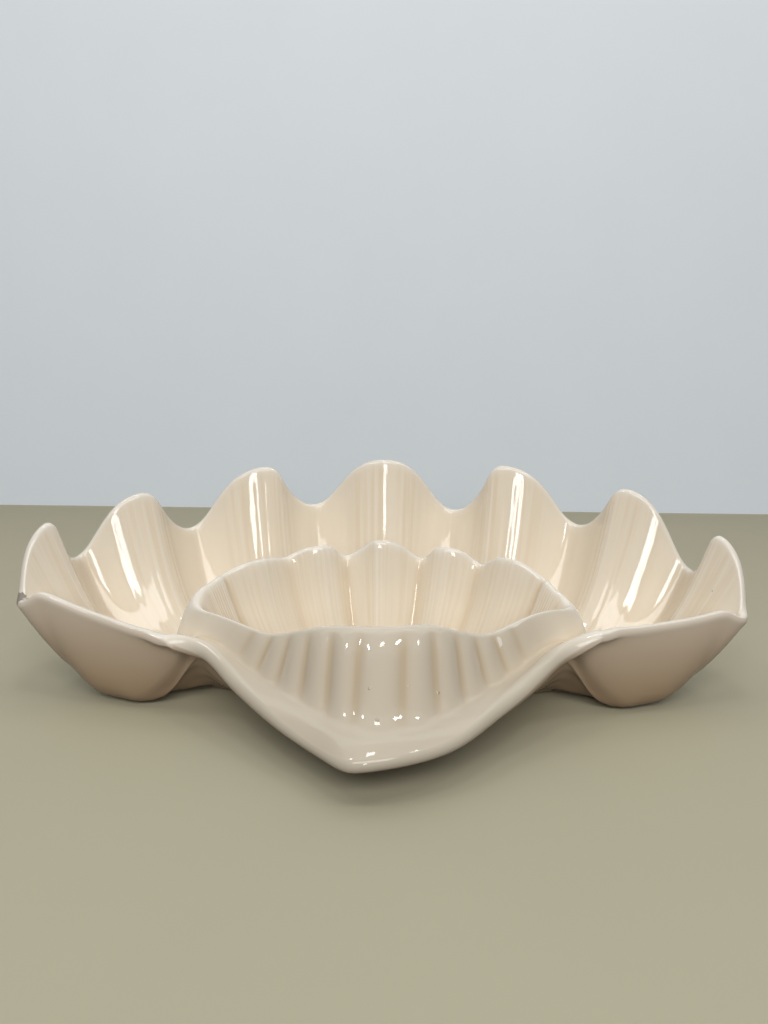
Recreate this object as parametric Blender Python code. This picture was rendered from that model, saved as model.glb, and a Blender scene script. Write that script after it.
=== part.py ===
"""Chip and dip platter cast in one piece as an open giant clam shell.

The platter is one lofted shell.  Sections run from the middle of the dip bowl, over the
bowl's scalloped edge, down into the chip channel and up to the outer rim.  They are set out
at stations around the object, and every point of the surface is found from them:

- around the object, each line of the loft is a closed cubic spline through its stations;
- across it, each section is a cubic spline over its control points;
- the underside lies one wall below a simpler version of the same sections, and the rim
  is rolled over between the two sheets.

Origin: centre of the bounding box, on the surface that the platter stands on.  +Z is up,
the tongue points to -Y and the seven ridges of the rim stand at +Y.
"""
import bmesh
import bpy
import numpy as np

# The plan of the rim, from the middle of the object, and its height, in metres
HALF_SPAN = 0.2185          # to either corner
BACK_REACH = 0.142          # to the back
TONGUE_REACH = 0.144        # to the tip of the tongue
RIDGE_HEIGHT = 0.129        # top of the tallest ridge

# Walls and edges
WALL = 0.006                # body of the shell
FAN_LIP = 0.006             # thickness of the fluted rim
HINGE_LIP = 0.0107          # thicker roll along the hinge line and the tongue
BOWL_EDGE = 0.0031          # half the thickness of the dip bowl's edge
BOWL_EDGE_ROUND = 0.0018    # drop of the section where that edge turns over
FULL_REACH = 0.026          # run from the bowl's edge to the channel that holds a full edge

# Dip bowl floor, an oval
FLOOR_Y = -0.026
FLOOR_HALF_LENGTH = 0.046
FLOOR_HALF_WIDTH = 0.020

# Ribs that run down the front dome
RIB_HEIGHT = 0.0012
RIBS_EACH_SIDE = 6
MIDDLE_RIB = 0.9            # width of the middle rib, in stations
RIB_PITCH = 0.6             # pitch of the others, in stations

# Stations of the right half, front to back, drawn in millimetres and then fitted to the plan
# and height above.  The left half mirrors them, with heights of its own for the rim and the
# bowl's edge, because the casting is uneven.
# rim x, y, z, z left | bowl edge x, y, z, z left | channel x, y, z of its underside |
# height of the hollow under the bowl's edge | steepness of the outer wall |
# share of the lip's roll | share of the broad dome
TONGUE_AND_HINGE = [
    (-9, -144, 20.5, 20.5,  0, -82, 67, 67,      -3, -128, 23,   55,  1.6, .5, 1),    # tongue
    (31, -129, 22, 18,      25, -75, 66, 65,     27, -115, 23,   52,  1.6, .5, 1),
    (58, -103, 31, 24,      45, -65, 59, 59,     51, -91, 26,    44,  1.6, .8, 1),
    (82, -75, 44, 36,       62, -57, 56, 53.5,   73, -67, 30,    37,  1.6, 1, 1),
    (101, -56, 50.5, 47,    80, -50.5, 62, 56.5, 91, -52.5, 38,  38,  1.6, 1, .9),
    (118, -48, 55.5, 50.5,  94, -45.5, 65, 60,   108, -42.5, 39,   39,  1.6, .8, .9),   # shoulder
    (125, -45.5, 55.5, 50,  100.5, -43, 65, 61,  116, -39, 31, 36,  1.8, .6, .8),
    (133, -42, 55.5, 50.5,  105, -40.5, 65, 62,  126, -36, 15,   33,  2.2, .4, .7),
    (150, -37, 55, 53,      108, -37.5, 65, 63.5, 142, -34, 2,   28,  2.8, .2, .5),   # end pocket
    (185, -27, 57.5, 61.5,  109, -34, 65, 65.5,  157, -30, 0,    24,  2.8, .1, .4),
    (205, -21, 59, 65,      108.5, -30.5, 66, 68, 162, -20, 0,   19,  2.3, .1, .3),
    (217, -17, 57.5, 61,    107, -27, 67.5, 70,  160, -11, 0,    15,  2.0, .1, .2),   # corner
    (218.5, -5, 84, 87,     104.5, -24, 69.5, 71.5, 156.5, -3, 1, 11, 1.9, .1, .1),
]
FAN = [
    (210, 10, 98, 101,      101.5, -20, 71.5, 73,   152, 4, 3,      7,   2.0, 0, 0),    # ridge 1
    (206, 43, 69, 72,       97, -12, 75, 75,     143, 15, 0,     0,   2.6, 0, 0),
    (165, 67, 118, 111,     78, 0, 84, 81,       118, 31, 6,     0,   2.6, 0, 0),    # ridge 2
    (143, 105, 86, 80,      63, 17, 76, 79,      106, 57, 0,     0,   2.6, 0, 0),
    (86, 115, 127, 124,     41, 20, 86, 86,      68, 64, 6,      0,   2.6, 0, 0),    # ridge 3
    (53, 142, 89, 92,       25, 31, 76, 77,      40, 83, 0,      0,   2.6, 0, 0),
    (0, 132, 129, 129,      -3, 25, 89, 89,      0, 75, 6,       0,   2.6, 0, 0),    # ridge 4
]
# Each ridge is broad, with a steep flank on either side: how far along its run a flank
# station stands, and how much of its rise is done there; the middle ridge has its own.
# The lobes of the bowl's edge are broad too.
FLANK_UP = (0.45, 0.73)
FLANK_DOWN = (0.35, 0.50)
FLANK_MIDDLE = (0.49, 0.71)
LOBE_FLANK = 0.70

# The mesh: segments around, and the section's places where its rings lie
SEGMENTS = 160
DOME_STATIONS = 4.2
TOP_RINGS = [1.2, 2.1, 3.0, 3.9, 4.8, 5.5, 6.1, 6.6, 7.1, 7.6, 8.2, 9.0, 9.8, 10.7, 11.6,
             12.5, 13.4, 14.3, 15.2, 16.1, 17.0]
LIP_ANGLES = [45, 90, 135, 180]
UNDER_RINGS = [16.1, 15.2, 14.3, 13.3, 12.3, 11.2, 9.9, 8.5, 7.0, 5.4, 3.8, 2.0]

RIM, BOWL, CHANNEL = slice(0, 3), slice(3, 6), slice(6, 9)
HOLLOW, STEEP, ROLL, DOME = 9, 10, 11, 12
CHANNEL_ROW = 12
LAST_ROW = 17

# Control points of a section.  Up the bowl's side: share of the run, share of the rise
BOWL_STEPS = [(.42, .10), (.66, .36), (.86, .72)]
# Outside the bowl's thin edge: multiples of BOWL_EDGE outwards, share of the drop
EDGE_STEPS = [(1.5, .22), (2.6, .66), (4.8, .95)]
# Down the broad dome: share of the run, share of the drop
DOME_STEPS = [(.15, .07), (.40, .34), (.64, .68), (.84, .91)]
# Up the outer wall: share of the run
WALL_STEPS = [.33, .62, .84, .96]
# How much further in and down the dome's edge turns than the thin one
DOME_EDGE, DOME_ROUND = 1.1, .8
LEAST_FIT = 0.3             # share of the bowl's edge that is left where the channel is near

# Rise of the hollow under the bowl, row by row: up the bowl's side, over its edge and down
HOLLOW_CLIMB = (.06, .30, .66, .92)
HOLLOW_FALL = (.97, .90, .66, .34, .08)


def flank(near, far, along, rise):
    """Station between two others, with the rim's rise set apart from its run."""
    station = (near + far) / 2
    station[0:2] = near[0:2] + (far[0:2] - near[0:2]) * along
    station[2] = near[2] + (far[2] - near[2]) * rise
    lobe = LOBE_FLANK if far[5] > near[5] else 1 - LOBE_FLANK
    station[5] = near[5] + (far[5] - near[5]) * lobe
    return station


def fitted(rows):
    """Stations in metres: the drawing stretched to the plan and height, on walls of WALL."""
    x, y, z, hollow = rows[:, [0, 3, 6]], rows[:, [1, 4, 7]], rows[:, [2, 5, 8]], rows[:, HOLLOW]
    back, front = BACK_REACH / y[:, 0].max(), TONGUE_REACH / -y[:, 0].min()
    rise = RIDGE_HEIGHT / z[:, 0].max()
    rows[:, [0, 3, 6]] = x * HALF_SPAN / x[:, 0].max()
    rows[:, [1, 4, 7]] = y * np.where(y > 0, back, front)
    rows[:, [2, 5, 8]] = z * rise + [0, 0, WALL]
    rows[:, HOLLOW] = hollow * rise
    return rows


def half_stations(side):
    """Stations from the tongue to the back ridge, for the right (+1) or left (-1) half."""
    rim_z, bowl_z = (2, 6) if side > 0 else (3, 7)
    rows = np.array(TONGUE_AND_HINGE + FAN, float)
    columns = [0, 1, rim_z, 4, 5, bowl_z, 8, 9, 10, 11, 12, 13, 14]
    rows = fitted(rows[:, columns])
    first_ridge = len(TONGUE_AND_HINGE)
    stations = list(rows[:first_ridge + 1])
    for index in range(first_ridge, len(rows) - 1):
        near, far = rows[index], rows[index + 1]
        rule = FLANK_UP if far[2] > near[2] else FLANK_DOWN
        if index == len(rows) - 2:
            rule = FLANK_MIDDLE
        stations += [flank(near, far, *rule), far]
    stations = np.array(stations)
    stations[:, [0, 3, 6]] *= side
    return stations


def all_stations():
    """Every station around the object, counter-clockwise from the tongue."""
    right = half_stations(1)
    left = half_stations(-1)
    return np.concatenate([right, left[-2:0:-1]])


def closed_spline(values, place):
    """Closed cubic spline that passes through the stations, read at each place."""
    count = len(values)
    index = np.arange(count)
    matrix = np.zeros((count, count))
    matrix[index, index] = 4 / 6
    matrix[index, (index + 1) % count] = 1 / 6
    matrix[index, (index - 1) % count] = 1 / 6
    points = np.linalg.solve(matrix, values)
    start = np.floor(place).astype(int)
    f = (place - start)[:, None]
    return ((1 - f) ** 3 * points[(start - 1) % count]
            + (3 * f ** 3 - 6 * f ** 2 + 4) * points[start % count]
            + (-3 * f ** 3 + 3 * f ** 2 + 3 * f + 1) * points[(start + 1) % count]
            + f ** 3 * points[(start + 2) % count]) / 6


def open_spline(rows, place):
    """Cubic spline over a section's control points, ending on the first and last."""
    ends = np.concatenate([[2 * rows[0] - rows[1]], rows, [2 * rows[-1] - rows[-2]]])
    start = np.clip(np.floor(place).astype(int), 0, len(rows) - 2)
    f = (place - start)[:, None, None]
    return ((1 - f) ** 3 * ends[start]
            + (3 * f ** 3 - 6 * f ** 2 + 4) * ends[start + 1]
            + (-3 * f ** 3 + 3 * f ** 2 + 3 * f + 1) * ends[start + 2]
            + f ** 3 * ends[start + 3]) / 6


def unit(vectors):
    return vectors / np.maximum(np.linalg.norm(vectors, axis=-1, keepdims=True), 1e-12)


def between(start, end, along, up):
    """Control point part of the way from start to end, its height set apart."""
    point = start + (end - start) * along
    point[:, 2] = start[:, 2] + (end[:, 2] - start[:, 2]) * up
    return point


def upper_rows(place):
    """Control points of the upper sheet, with the lip's thickness and the hollow's height."""
    lines = closed_spline(all_stations(), place)
    rim, bowl, channel = lines[:, RIM], lines[:, BOWL], lines[:, CHANNEL]
    steep = lines[:, STEEP:STEEP + 1]
    dome = np.clip(lines[:, DOME:DOME + 1], 0, 1)
    hollow = lines[:, HOLLOW]
    lip = FAN_LIP + (HINGE_LIP - FAN_LIP) * lines[:, ROLL:ROLL + 1]

    angle = np.arctan2((bowl[:, 1] - FLOOR_Y) / FLOOR_HALF_WIDTH, bowl[:, 0] / FLOOR_HALF_LENGTH)
    floor = np.stack([FLOOR_HALF_LENGTH * np.cos(angle),
                      FLOOR_Y + FLOOR_HALF_WIDTH * np.sin(angle), 0 * angle + WALL], -1)
    middle = np.array([0, FLOOR_Y, WALL]) + 0 * floor

    flat = np.array([1, 1, 0])
    up = np.array([[0, 0, 1]])
    outward = unit((channel - bowl) * flat)
    inward = unit((floor - bowl) * flat)
    reach = np.linalg.norm((channel - bowl) * flat, axis=1, keepdims=True)
    fit = np.clip(reach / FULL_REACH, LEAST_FIT, 1)
    drop = (bowl - channel)[:, 2:3]

    # The bowl's edge: a thin upright wall at the back and sides, a broad dome at the front
    thin = [bowl + outward * BOWL_EDGE * fit - up * BOWL_EDGE_ROUND * fit]
    thin += [bowl + outward * BOWL_EDGE * fit * out - up * drop * down for out, down in EDGE_STEPS]
    broad = [between(bowl, channel, along, down) for along, down in DOME_STEPS]
    over = [t * (1 - dome) + b * dome for t, b in zip(thin, broad)]
    inner_edge = (bowl + inward * BOWL_EDGE * (1 + DOME_EDGE * dome)
                  - up * BOWL_EDGE_ROUND * (1 + DOME_ROUND * dome))

    # The outer wall rises from the channel to the rim, ever steeper
    def wall_point(tip, share):
        point = channel + (tip - channel) * share
        point[:, 2:3] = channel[:, 2:3] + (tip - channel)[:, 2:3] * share ** steep
        return point

    tip = rim - unit(rim - wall_point(rim, .9)) * lip / 2
    upper = [middle, (middle + floor) / 2, floor]
    upper += [between(floor, bowl, along, rise) for along, rise in BOWL_STEPS]
    upper += [inner_edge, bowl, *over, channel]
    upper += [wall_point(tip, share) for share in WALL_STEPS] + [tip]
    upper = np.array(upper)

    return upper, lip, hollow


def lower_rows(place):
    """Control points of the underside: one wall below the channel and the outer wall,
    and a plain low hump under the bowl's edge, so that the edge itself is solid."""
    upper, lip, hollow = upper_rows(place)
    lower = upper.copy()
    lower[:3, :, 2] = 0
    for row, share in enumerate(HOLLOW_CLIMB, 3):
        lower[row, :, 2] = hollow * share
    bottom = upper[CHANNEL_ROW, :, 2] - WALL
    for row, share in enumerate(HOLLOW_FALL, 3 + len(HOLLOW_CLIMB)):
        lower[row, :, 2] = bottom + (hollow - bottom) * share
    rows = np.arange(CHANNEL_ROW, LAST_ROW + 1)
    growth = np.clip((rows - (LAST_ROW - 2)) / 2, 0, 1)[:, None, None] ** 2
    depth = WALL + (lip[None] - WALL) * growth
    lower[rows] = upper[rows] - sheet_normals(upper_sheet, place, rows) * depth
    return lower


def upper_sheet(place, ring):
    """Points of the upper sheet, one row for each ring of the section."""
    return open_spline(upper_rows(place)[0], ring)


def lower_sheet(place, ring):
    """Points of the underside, in the same way."""
    return open_spline(lower_rows(place), ring)


def sheet_normals(sheet, place, ring):
    """Unit normals of a sheet, pointing up, from its slopes both ways."""
    step = 0.01
    low, high = np.maximum(ring - step, 0), np.minimum(ring + step, LAST_ROW)
    around = sheet(place + step, ring) - sheet(place - step, ring)
    across = sheet(place, high) - sheet(place, low)
    return unit(np.cross(across, around))


def rib_height(place, ring):
    """Relief of the dome's ribs: round ridges that fade out at the bowl's edge and below."""
    count = len(all_stations())
    away = np.abs((place + count / 2) % count - count / 2)
    half = MIDDLE_RIB / 2
    turns = np.where(away < half, away / MIDDLE_RIB, .5 + (away - half) / RIB_PITCH)
    wave = np.cos(2 * np.pi * turns)
    last = half + RIBS_EACH_SIDE * RIB_PITCH
    side = np.clip((last + .2 - away) / 1.2, 0, 1)
    length = np.clip((ring - 7.2) / 1.3, 0, 1) * np.clip((12.4 - ring) / 2.6, 0, 1)
    return RIB_HEIGHT * (wave * side)[None, :] * length[:, None]


def places_around():
    """Where each segment lies, in stations: close together across the dome's ribs."""
    count = len(all_stations())
    pitch = RIB_PITCH / 4
    front = int(round(DOME_STATIONS / pitch))
    rest = SEGMENTS - 2 * front
    dome = np.arange(-front, front) * pitch
    others = DOME_STATIONS + np.arange(rest) * (count - 2 * DOME_STATIONS) / rest
    return np.concatenate([dome, others])


def shell_rings():
    """Every ring of the closed surface, from the bowl's floor over the rim to the base."""
    place = places_around()
    lip = upper_rows(place)[1]
    top = np.array(TOP_RINGS)
    normals = sheet_normals(upper_sheet, place, top)
    upper = upper_sheet(place, top) + normals * rib_height(place, top)[:, :, None]

    before = upper_sheet(place, np.array([LAST_ROW - .05]))[0]
    outward = unit(upper[-1] - before)
    upward = normals[-1]
    centre = upper[-1] - upward * lip / 2
    turned = [centre + lip / 2 * (np.cos(a) * upward + np.sin(a) * outward)
              for a in np.radians(LIP_ANGLES)]

    lower = lower_sheet(place, np.array(UNDER_RINGS))
    lower[:, :, 2] = np.maximum(lower[:, :, 2], 0)
    return np.concatenate([upper, np.array(turned), lower])


def make_shell(name):
    """Closed mesh: a UV sphere whose rings are laid along the shell's rings."""
    rings = shell_rings()
    bm = bmesh.new()
    bmesh.ops.create_uvsphere(bm, u_segments=SEGMENTS, v_segments=len(rings) + 1, radius=1)
    for vert in bm.verts:
        ring = int(round(np.degrees(np.arccos(np.clip(vert.co.z, -1, 1)))
                         * (len(rings) + 1) / 180)) - 1
        turn = np.arctan2(vert.co.y, vert.co.x) / (2 * np.pi)
        segment = int(round(turn * SEGMENTS)) % SEGMENTS
        if ring < 0:
            vert.co = (0, FLOOR_Y, WALL)
        elif ring >= len(rings):
            vert.co = (0, FLOOR_Y, 0)
        else:
            vert.co = rings[ring, segment]
    bmesh.ops.triangulate(bm, faces=bm.faces)
    bmesh.ops.recalc_face_normals(bm, faces=bm.faces)

    # Origin: middle of the box, on the standing surface
    points = np.array([vert.co for vert in bm.verts])
    shift = (points.min(axis=0) + points.max(axis=0)) / 2
    shift[2] = points[:, 2].min()
    for vert in bm.verts:
        vert.co = points[vert.index] - shift
    mesh = bpy.data.meshes.new(name)
    bm.to_mesh(mesh)
    bm.free()
    mesh.shade_smooth()
    return mesh


def glaze():
    material = bpy.data.materials.new("apricot_glaze")
    material.use_nodes = True
    shader = material.node_tree.nodes["Principled BSDF"]
    shader.inputs["Base Color"].default_value = (0.83, 0.66, 0.52, 1)
    shader.inputs["Roughness"].default_value = 0.12
    shader.inputs["Metallic"].default_value = 0
    return material


def main():
    for item in list(bpy.data.objects):
        bpy.data.objects.remove(item)
    collection = bpy.data.collections.new("chip_and_dip_platter")
    bpy.context.scene.collection.children.link(collection)
    platter = bpy.data.objects.new("platter", make_shell("platter"))
    platter.data.materials.append(glaze())
    collection.objects.link(platter)


main()
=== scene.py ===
# %% [markdown]
# # A giant clam chip and dip platter in Blender
#
# The real object is one piece of cast earthenware under an apricot cream glaze: an open clam
# shell whose fan holds chips, with a scalloped dip bowl in the middle and a ribbed dome and a
# tongue in front of it. This lesson lays a fine smooth surface over the imported CAD solid, adds
# the small ribs and the glaze that the solid leaves out, and lights it as a studio would.
#
# The CAD model comes in first as a fixed frame, and the size of its box is printed.

# %% Load the frame
import math

import bpy
import numpy as np
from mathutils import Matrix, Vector


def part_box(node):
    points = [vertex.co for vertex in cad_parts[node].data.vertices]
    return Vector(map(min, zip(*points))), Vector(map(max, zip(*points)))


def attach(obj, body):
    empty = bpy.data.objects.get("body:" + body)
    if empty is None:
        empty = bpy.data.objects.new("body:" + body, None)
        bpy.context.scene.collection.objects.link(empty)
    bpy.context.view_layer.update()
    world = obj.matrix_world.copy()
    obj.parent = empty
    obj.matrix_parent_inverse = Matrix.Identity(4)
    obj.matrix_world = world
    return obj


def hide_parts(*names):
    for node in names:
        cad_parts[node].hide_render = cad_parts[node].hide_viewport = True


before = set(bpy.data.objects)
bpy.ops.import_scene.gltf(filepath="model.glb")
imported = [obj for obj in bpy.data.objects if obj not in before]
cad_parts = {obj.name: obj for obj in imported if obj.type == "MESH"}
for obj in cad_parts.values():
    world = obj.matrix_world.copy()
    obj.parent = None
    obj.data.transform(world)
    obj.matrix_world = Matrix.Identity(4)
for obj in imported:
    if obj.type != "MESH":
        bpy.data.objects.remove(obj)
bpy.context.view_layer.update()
low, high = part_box("platter")
print("CAD box in mm:", [round(1000 * side, 1) for side in high - low])

# %% [markdown]
# ## The camera
#
# The photograph is taken from in front of the tongue, about half a metre away and a little
# above the rim, looking down by ten degrees. A near camera matters here: it makes the tongue
# large and the back ridges small, which is half of the object's look. The picture is a touch
# crooked, so the camera is rolled by the same small angle.

# %% Camera
CAMERA_PLACE = (0, -0.46775, 0.198)
CAMERA_LENS = 27.07         # mm
SENSOR_WIDTH = 36           # mm
CAMERA_DOWN = 10.5          # degrees
CAMERA_ROLL = 0.72          # degrees

camera_data = bpy.data.cameras.new("camera")
camera_data.lens = CAMERA_LENS
camera_data.sensor_width = SENSOR_WIDTH
camera = bpy.data.objects.new("camera", camera_data)
camera.location = CAMERA_PLACE
camera.rotation_euler = (math.radians(90 - CAMERA_DOWN), 0, 0)
camera.rotation_euler.rotate_axis("Z", math.radians(CAMERA_ROLL))
bpy.context.scene.collection.objects.link(camera)
bpy.context.scene.camera = camera
print("camera", CAMERA_LENS, "mm lens at", CAMERA_PLACE)

# %% [markdown]
# ## The shell as one surface
#
# A shell like this could be sculpted, or built from subdivided boxes, but both lose the even
# sweep that a mould gives. Here the whole shell is a surface of two numbers. `place` runs
# around the object, from the tongue over the right side to the back and round again. `ring`
# runs across it, from the middle of the bowl over the bowl's edge, down into the chip channel
# and up to the rim. The stations below say where the rim, the bowl's edge and the channel lie;
# smooth splines do the rest.

# %% Dimensions and stations
# Lengths are in metres.
HALF_SPAN = 0.2185          # rim, from the middle to either corner
BACK_REACH = 0.142          # rim, from the middle to the back
TONGUE_REACH = 0.144        # rim, from the middle to the tip of the tongue
RIDGE_HEIGHT = 0.129        # top of the tallest ridge
WALL = 0.006                # body of the shell
FAN_LIP = 0.006             # thickness of the fluted rim
HINGE_LIP = 0.0107          # thicker roll along the hinge line and the tongue
BOWL_EDGE = 0.0031          # half the thickness of the dip bowl's edge
BOWL_EDGE_ROUND = 0.0018    # drop of the section where that edge turns over
FLOOR_Y = -0.026            # the bowl's oval floor
FLOOR_HALF_LENGTH = 0.046
FLOOR_HALF_WIDTH = 0.020

# Stations in millimetres: rim x, y, z right, z left | bowl edge x, y, z right, z left |
# channel x, y, z of its underside | hollow under the bowl's edge | steepness of the outer
# wall | share of the lip's roll | share of the broad dome
TONGUE_AND_HINGE = [
    (-9, -144, 20.5, 20.5,  0, -82, 67, 67,      -3, -128, 23,   55,  1.6, .5, 1),    # tongue
    (31, -129, 22, 18,      25, -75, 66, 65,     27, -115, 23,   52,  1.6, .5, 1),
    (58, -103, 31, 24,      45, -65, 59, 59,     51, -91, 26,    44,  1.6, .8, 1),
    (82, -75, 44, 36,       62, -57, 56, 53.5,   73, -67, 30,    37,  1.6, 1, 1),
    (101, -56, 50.5, 47,    80, -50.5, 62, 56.5, 91, -52.5, 38,  38,  1.6, 1, .9),
    (118, -48, 55.5, 50.5,  94, -45.5, 65, 60,   108, -42.5, 39,   39,  1.6, .8, .9),   # shoulder
    (125, -45.5, 55.5, 50,  100.5, -43, 65, 61,  116, -39, 31, 36,  1.8, .6, .8),
    (133, -42, 55.5, 50.5,  105, -40.5, 65, 62,  126, -36, 15,   33,  2.2, .4, .7),
    (150, -37, 55, 53,      108, -37.5, 65, 63.5, 142, -34, 2,   28,  2.8, .2, .5),   # end pocket
    (185, -27, 57.5, 61.5,  109, -34, 65, 65.5,  157, -30, 0,    24,  2.8, .1, .4),
    (205, -21, 59, 65,      108.5, -30.5, 66, 68, 162, -20, 0,   19,  2.3, .1, .3),
    (217, -17, 57.5, 61,    107, -27, 67.5, 70,  160, -11, 0,    15,  2.0, .1, .2),   # corner
    (218.5, -5, 84, 87,     104.5, -24, 69.5, 71.5, 156.5, -3, 1, 11, 1.9, .1, .1),
]
FAN = [
    (210, 10, 98, 101,      101.5, -20, 71.5, 73,   152, 4, 3,      7,   2.0, 0, 0),    # ridge 1
    (206, 43, 69, 72,       97, -12, 75, 75,     143, 15, 0,     0,   2.6, 0, 0),
    (165, 67, 118, 111,     78, 0, 84, 81,       118, 31, 6,     0,   2.6, 0, 0),    # ridge 2
    (143, 105, 86, 80,      63, 17, 76, 79,      106, 57, 0,     0,   2.6, 0, 0),
    (86, 115, 127, 124,     41, 20, 86, 86,      68, 64, 6,      0,   2.6, 0, 0),    # ridge 3
    (53, 142, 89, 92,       25, 31, 76, 77,      40, 83, 0,      0,   2.6, 0, 0),
    (0, 132, 129, 129,      -3, 25, 89, 89,      0, 75, 6,       0,   2.6, 0, 0),    # ridge 4
]
FLANK_UP = (0.45, 0.73)     # a flank between two stations: share of the run, of the height
FLANK_DOWN = (0.35, 0.50)
FLANK_MIDDLE = (0.49, 0.71)
LOBE_FLANK = 0.70           # share of a lobe's rise that the bowl's edge makes there

RIM, BOWL, CHANNEL = slice(0, 3), slice(3, 6), slice(6, 9)
HOLLOW, STEEP, ROLL, DOME = 9, 10, 11, 12
CHANNEL_ROW, LAST_ROW = 12, 17          # a section's rows at the channel and at the rim
HOLLOW_CLIMB = (.06, .30, .66, .92)     # shares of the hollow's height, up and down again
HOLLOW_FALL = (.97, .90, .66, .34, .08)


def flank(near, far, along, rise):
    """Station between two others: its rim goes `along` of the way and `rise` of the height.

    The lobes of the bowl's edge are broad, so most of their rise is done there too."""
    station = (near + far) / 2
    station[0:2] = near[0:2] + (far[0:2] - near[0:2]) * along
    station[2] = near[2] + (far[2] - near[2]) * rise
    lobe = LOBE_FLANK if far[5] > near[5] else 1 - LOBE_FLANK
    station[5] = near[5] + (far[5] - near[5]) * lobe
    return station


def fitted(rows):
    """Stations in metres: the drawing stretched to the plan and height, on walls of WALL."""
    x, y, z, hollow = rows[:, [0, 3, 6]], rows[:, [1, 4, 7]], rows[:, [2, 5, 8]], rows[:, HOLLOW]
    back, front = BACK_REACH / y[:, 0].max(), TONGUE_REACH / -y[:, 0].min()
    rise = RIDGE_HEIGHT / z[:, 0].max()
    rows[:, [0, 3, 6]] = x * HALF_SPAN / x[:, 0].max()
    rows[:, [1, 4, 7]] = y * np.where(y > 0, back, front)
    rows[:, [2, 5, 8]] = z * rise + [0, 0, WALL]
    rows[:, HOLLOW] = hollow * rise
    return rows


def half_stations(side):
    """Stations from the tongue to the back ridge, right (+1) or left (-1), flanks added."""
    rim_z, bowl_z = (2, 6) if side > 0 else (3, 7)
    rows = np.array(TONGUE_AND_HINGE + FAN, float)
    rows = fitted(rows[:, [0, 1, rim_z, 4, 5, bowl_z, 8, 9, 10, 11, 12, 13, 14]])
    first_ridge = len(TONGUE_AND_HINGE)
    stations = list(rows[:first_ridge + 1])
    for index in range(first_ridge, len(rows) - 1):
        near, far = rows[index], rows[index + 1]
        rule = FLANK_UP if far[2] > near[2] else FLANK_DOWN
        if index == len(rows) - 2:
            rule = FLANK_MIDDLE
        stations += [flank(near, far, *rule), far]
    stations = np.array(stations)
    stations[:, [0, 3, 6]] *= side
    return stations


STATIONS = np.concatenate([half_stations(1), half_stations(-1)[-2:0:-1]])
COUNT = len(STATIONS)
print(COUNT, "stations around the shell")

# %% [markdown]
# ### Two splines
#
# Around the shell the lines have to pass through the stations and close on themselves, so a
# cubic B-spline is used whose control points are solved for. Across the shell a plain cubic
# B-spline over the control rows is enough; it rounds every bend a little, as glaze does.

# %% Splines
def basis(f):
    """The four cubic B-spline weights at the fraction f of a span; they always add up to 1."""
    return ((1 - f) ** 3 / 6, (3 * f ** 3 - 6 * f ** 2 + 4) / 6,
            (-3 * f ** 3 + 3 * f ** 2 + 3 * f + 1) / 6, f ** 3 / 6)


def solved_points(values):
    """Control points P with P[i-1]/6 + 4 P[i]/6 + P[i+1]/6 = values[i], all the way round."""
    eye = np.eye(len(values))
    matrix = 4 / 6 * eye + (np.roll(eye, 1, 0) + np.roll(eye, -1, 0)) / 6
    return np.linalg.solve(matrix, values)


STATION_POINTS = solved_points(STATIONS)


def around(place):
    """The lines of the loft at each place: a weighted sum of four neighbouring points."""
    start = np.floor(place).astype(int)
    weights = basis((place - start)[:, None])
    return sum(w * STATION_POINTS[(start + k - 1) % COUNT] for k, w in enumerate(weights))


def across(rows, ring):
    """The same sum over a section's rows, whose ends are reflected so that it reaches them."""
    ends = np.concatenate([[2 * rows[0] - rows[1]], rows, [2 * rows[-1] - rows[-2]]])
    start = np.clip(np.floor(ring).astype(int), 0, len(rows) - 2)
    weights = basis((ring - start)[:, None, None])
    return sum(w * ends[start + k] for k, w in enumerate(weights))


def unit(vectors):
    """Vectors divided by their own length."""
    return vectors / np.maximum(np.linalg.norm(vectors, axis=-1, keepdims=True), 1e-12)


print("spline weights at mid span:", [round(float(w), 3) for w in basis(np.array(0.5))])

# %% [markdown]
# ### The section
#
# Each section starts on the bowl's flat floor, climbs the bowl's side, turns over its edge,
# falls to the channel and climbs the outer wall ever more steeply to the rim. At the front the
# thin edge of the bowl widens into the dome, so two sets of rows are mixed by the share of
# `dome` at each station.

# %% Upper sheet
EDGE_STEPS = ((1, 0), (1.5, .22), (2.6, .66), (4.8, .95))      # widths out, share of the drop
DOME_STEPS = ((.15, .07), (.40, .34), (.64, .68), (.84, .91))  # shares of the run, of the drop
DOME_EDGE, DOME_ROUND = 1.1, .8     # how much further in and down the dome's edge turns
BOWL_STEPS = ((.42, .10), (.66, .36), (.86, .72))              # the same, up the bowl's side
WALL_SHARES = (.33, .62, .84, .96)
FULL_REACH = 0.026          # a run from edge to channel that leaves room for the whole edge


def between(start, end, along, up):
    """Row part of the way from start to end, its height set apart from its run."""
    point = start + (end - start) * along
    point[:, 2] = start[:, 2] + (end[:, 2] - start[:, 2]) * up
    return point


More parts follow.
